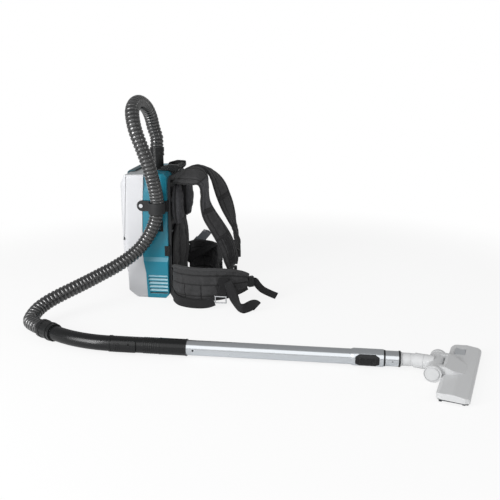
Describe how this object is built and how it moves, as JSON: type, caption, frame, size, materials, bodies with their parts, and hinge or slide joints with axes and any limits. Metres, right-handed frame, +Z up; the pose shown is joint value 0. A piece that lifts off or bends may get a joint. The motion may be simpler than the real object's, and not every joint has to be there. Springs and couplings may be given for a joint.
{
  "type": "backpack vacuum cleaner",
  "caption": "Cordless backpack vacuum cleaner with padded harness, hinged bag cover, ribbed hose, telescopic metal wand and pivoting floor nozzle.",
  "frame": {"origin": "on the underside of the casing, in its middle plane, at the floor that the unit stands on", "axes": "+X towards the wearer's front and along the wand, +Y to the wearer's left, +Z up"},
  "size_m": [1.1249, 0.8501, 0.572],
  "materials": {
    "shell_teal": "moulded, light gloss",
    "shell_white": "moulded, light gloss",
    "roof_grey": "moulded, fine grain",
    "black_plastic": "moulded, fine grain",
    "dark_grey_plastic": "moulded, fine grain",
    "black_rubber": "soft, dull",
    "hose_plastic": "ribbed, glossy black",
    "pad_fabric": "woven cover over foam",
    "mesh_fabric": "spacer mesh over foam",
    "webbing": "woven webbing",
    "filter_cloth": "pleated paper and cloth",
    "filter_foam": "open foam",
    "tube_metal": "drawn, bright",
    "steel": "turned",
    "ring_metal": "plated wire",
    "motor_metal": "painted",
    "board": "lacquered board",
    "nozzle_white": "moulded, light gloss",
    "tool_grey": "moulded, smoky grey",
    "button_red": "moulded",
    "bristle": "dense bristle strip"
  },
  "bodies": {
    "unit": {"main_housing": "shell_teal", "rear_frame": "shell_white", "roof_panel": "roof_grey", "cover_pins": "steel", "back_plate": "black_plastic", "plate_clips": "black_plastic", "switch_bezel": "black_plastic", "housing_screws": "steel", "hose_inlet": "black_plastic", "bag_collar": "dark_grey_plastic", "dust_bag": "filter_cloth", "pre_filter": "filter_foam", "fan_housing": "dark_grey_plastic", "motor_can": "motor_metal", "motor_mount": "black_rubber", "exhaust_filters": "filter_foam", "control_board": "board", "battery_dock": "black_plastic", "back_pads": "mesh_fabric", "shoulder_strap_right": "pad_fabric", "shoulder_strap_left": "pad_fabric", "strap_webbing": "webbing", "waist_pad_right": "pad_fabric", "waist_pad_left": "pad_fabric", "belt_webbing": "webbing", "belt_ring": "ring_metal", "harness_buckles": "black_plastic", "tool_holder": "webbing", "hose": "hose_plastic", "hose_band": "black_rubber", "handle_pipe": "black_plastic", "outer_tube": "tube_metal", "lock_collar": "tube_metal"},
    "cover": {"bag_cover": "shell_white", "cover_seal": "black_rubber"},
    "latch": {"cover_latch": "black_plastic"},
    "handle": {"carry_handle": "black_plastic"},
    "rotor": {"impeller": "steel", "motor_shaft": "steel"},
    "switch": {"power_switch": "dark_grey_plastic"},
    "pack_right": {"battery_right": "black_plastic"},
    "pack_left": {"battery_left": "black_plastic"},
    "button_right": {"battery_button_right": "button_red"},
    "button_left": {"battery_button_left": "button_red"},
    "cuff": {"inlet_cuff": "black_plastic"},
    "grip_cuff": {"handle_cuff": "black_plastic"},
    "slider": {"suction_slider": "black_plastic"},
    "tube_lock": {"lock_slider": "black_plastic"},
    "wand": {"inner_tube": "tube_metal", "tube_rings": "black_plastic", "nozzle_neck": "nozzle_white"},
    "yoke": {"nozzle_yoke": "nozzle_white"},
    "head": {"nozzle_head": "nozzle_white", "nozzle_sole": "dark_grey_plastic", "axle_pin": "steel"},
    "wheels": {"nozzle_wheels": "nozzle_white"},
    "rocker": {"pedal": "dark_grey_plastic"},
    "brushes": {"brush_strips": "bristle"},
    "tool": {"crevice_nozzle": "tool_grey"}
  },
  "joints": [
    {"name": "cover_hinge", "type": "hinge", "parent": "unit", "child": "cover", "pos_m": [-0.0674, 0, 0.173], "axis": [0, -1, 0], "range_deg": [0, 90]},
    {"name": "latch_hinge", "type": "hinge", "parent": "cover", "child": "latch", "pos_m": [-0.0644, 0, 0.347], "axis": [0, -1, 0], "range_deg": [0, 45]},
    {"name": "handle_hinge", "type": "hinge", "parent": "unit", "child": "handle", "pos_m": [0.038, 0, 0.3658], "axis": [0, -1, 0], "range_deg": [0, 80]},
    {"name": "rotor_spin", "type": "hinge", "parent": "unit", "child": "rotor", "pos_m": [0, 0, 0.12], "axis": [0, 0, 1], "continuous": true},
    {"name": "switch_rock", "type": "hinge", "parent": "unit", "child": "switch", "pos_m": [0.036, -0.11, 0.215], "axis": [-1, 0, 0], "range_deg": [0, 7]},
    {"name": "pack_right_slide", "type": "slide", "parent": "unit", "child": "pack_right", "axis": [-1, 0, 0], "range_m": [0, 0.12]},
    {"name": "pack_left_slide", "type": "slide", "parent": "unit", "child": "pack_left", "axis": [-1, 0, 0], "range_m": [0, 0.12]},
    {"name": "button_right_press", "type": "slide", "parent": "pack_right", "child": "button_right", "axis": [1, 0, 0], "range_m": [0, 0.003], "stiffness_N_per_m": 400},
    {"name": "button_left_press", "type": "slide", "parent": "pack_left", "child": "button_left", "axis": [1, 0, 0], "range_m": [0, 0.003], "stiffness_N_per_m": 400},
    {"name": "inlet_swivel", "type": "hinge", "parent": "unit", "child": "cuff", "pos_m": [0.01, 0, 0.4], "axis": [0, 0, 1], "continuous": true},
    {"name": "grip_swivel", "type": "hinge", "parent": "unit", "child": "grip_cuff", "pos_m": [-0.13898, -0.45741, 0.024], "axis": [-0.848, 0.5299, 0], "continuous": true},
    {"name": "suction_slide", "type": "slide", "parent": "unit", "child": "slider", "axis": [1, 0, 0], "range_m": [0, 0.012]},
    {"name": "tube_lock_slide", "type": "slide", "parent": "unit", "child": "tube_lock", "axis": [1, 0, 0], "range_m": [0, 0.005], "stiffness_N_per_m": 300},
    {"name": "wand_extend", "type": "slide", "parent": "unit", "child": "wand", "axis": [1, 0, 0], "range_m": [0, 0.3]},
    {"name": "neck_swivel", "type": "hinge", "parent": "wand", "child": "yoke", "pos_m": [0.71, -0.503, 0.024], "axis": [0.9659, -0.2588, 0], "range_deg": [-80, 80]},
    {"name": "head_tilt", "type": "hinge", "parent": "yoke", "child": "head", "pos_m": [0.75926, -0.5162, 0.019], "axis": [0.2588, 0.9659, 0], "range_deg": [-4, 70]},
    {"name": "wheels_roll", "type": "hinge", "parent": "head", "child": "wheels", "pos_m": [0.75926, -0.5162, 0.019], "axis": [0.2588, 0.9659, 0], "continuous": true},
    {"name": "pedal_rock", "type": "hinge", "parent": "head", "child": "rocker", "pos_m": [0.82364, -0.43821, 0.018], "axis": [-0.2588, -0.9659, 0], "range_deg": [0, 8]},
    {"name": "brush_drop", "type": "slide", "parent": "head", "child": "brushes", "axis": [0, 0, -1], "range_m": [0, 0.003]},
    {"name": "tool_draw", "type": "slide", "parent": "unit", "child": "tool", "axis": [0.6561, 0, 0.7547], "range_m": [0, 0.05]}
  ],
  "couplings": [
    {"joint": "pedal_rock", "follows": "brush_drop", "rad_per_m": 46.542}
  ]
}
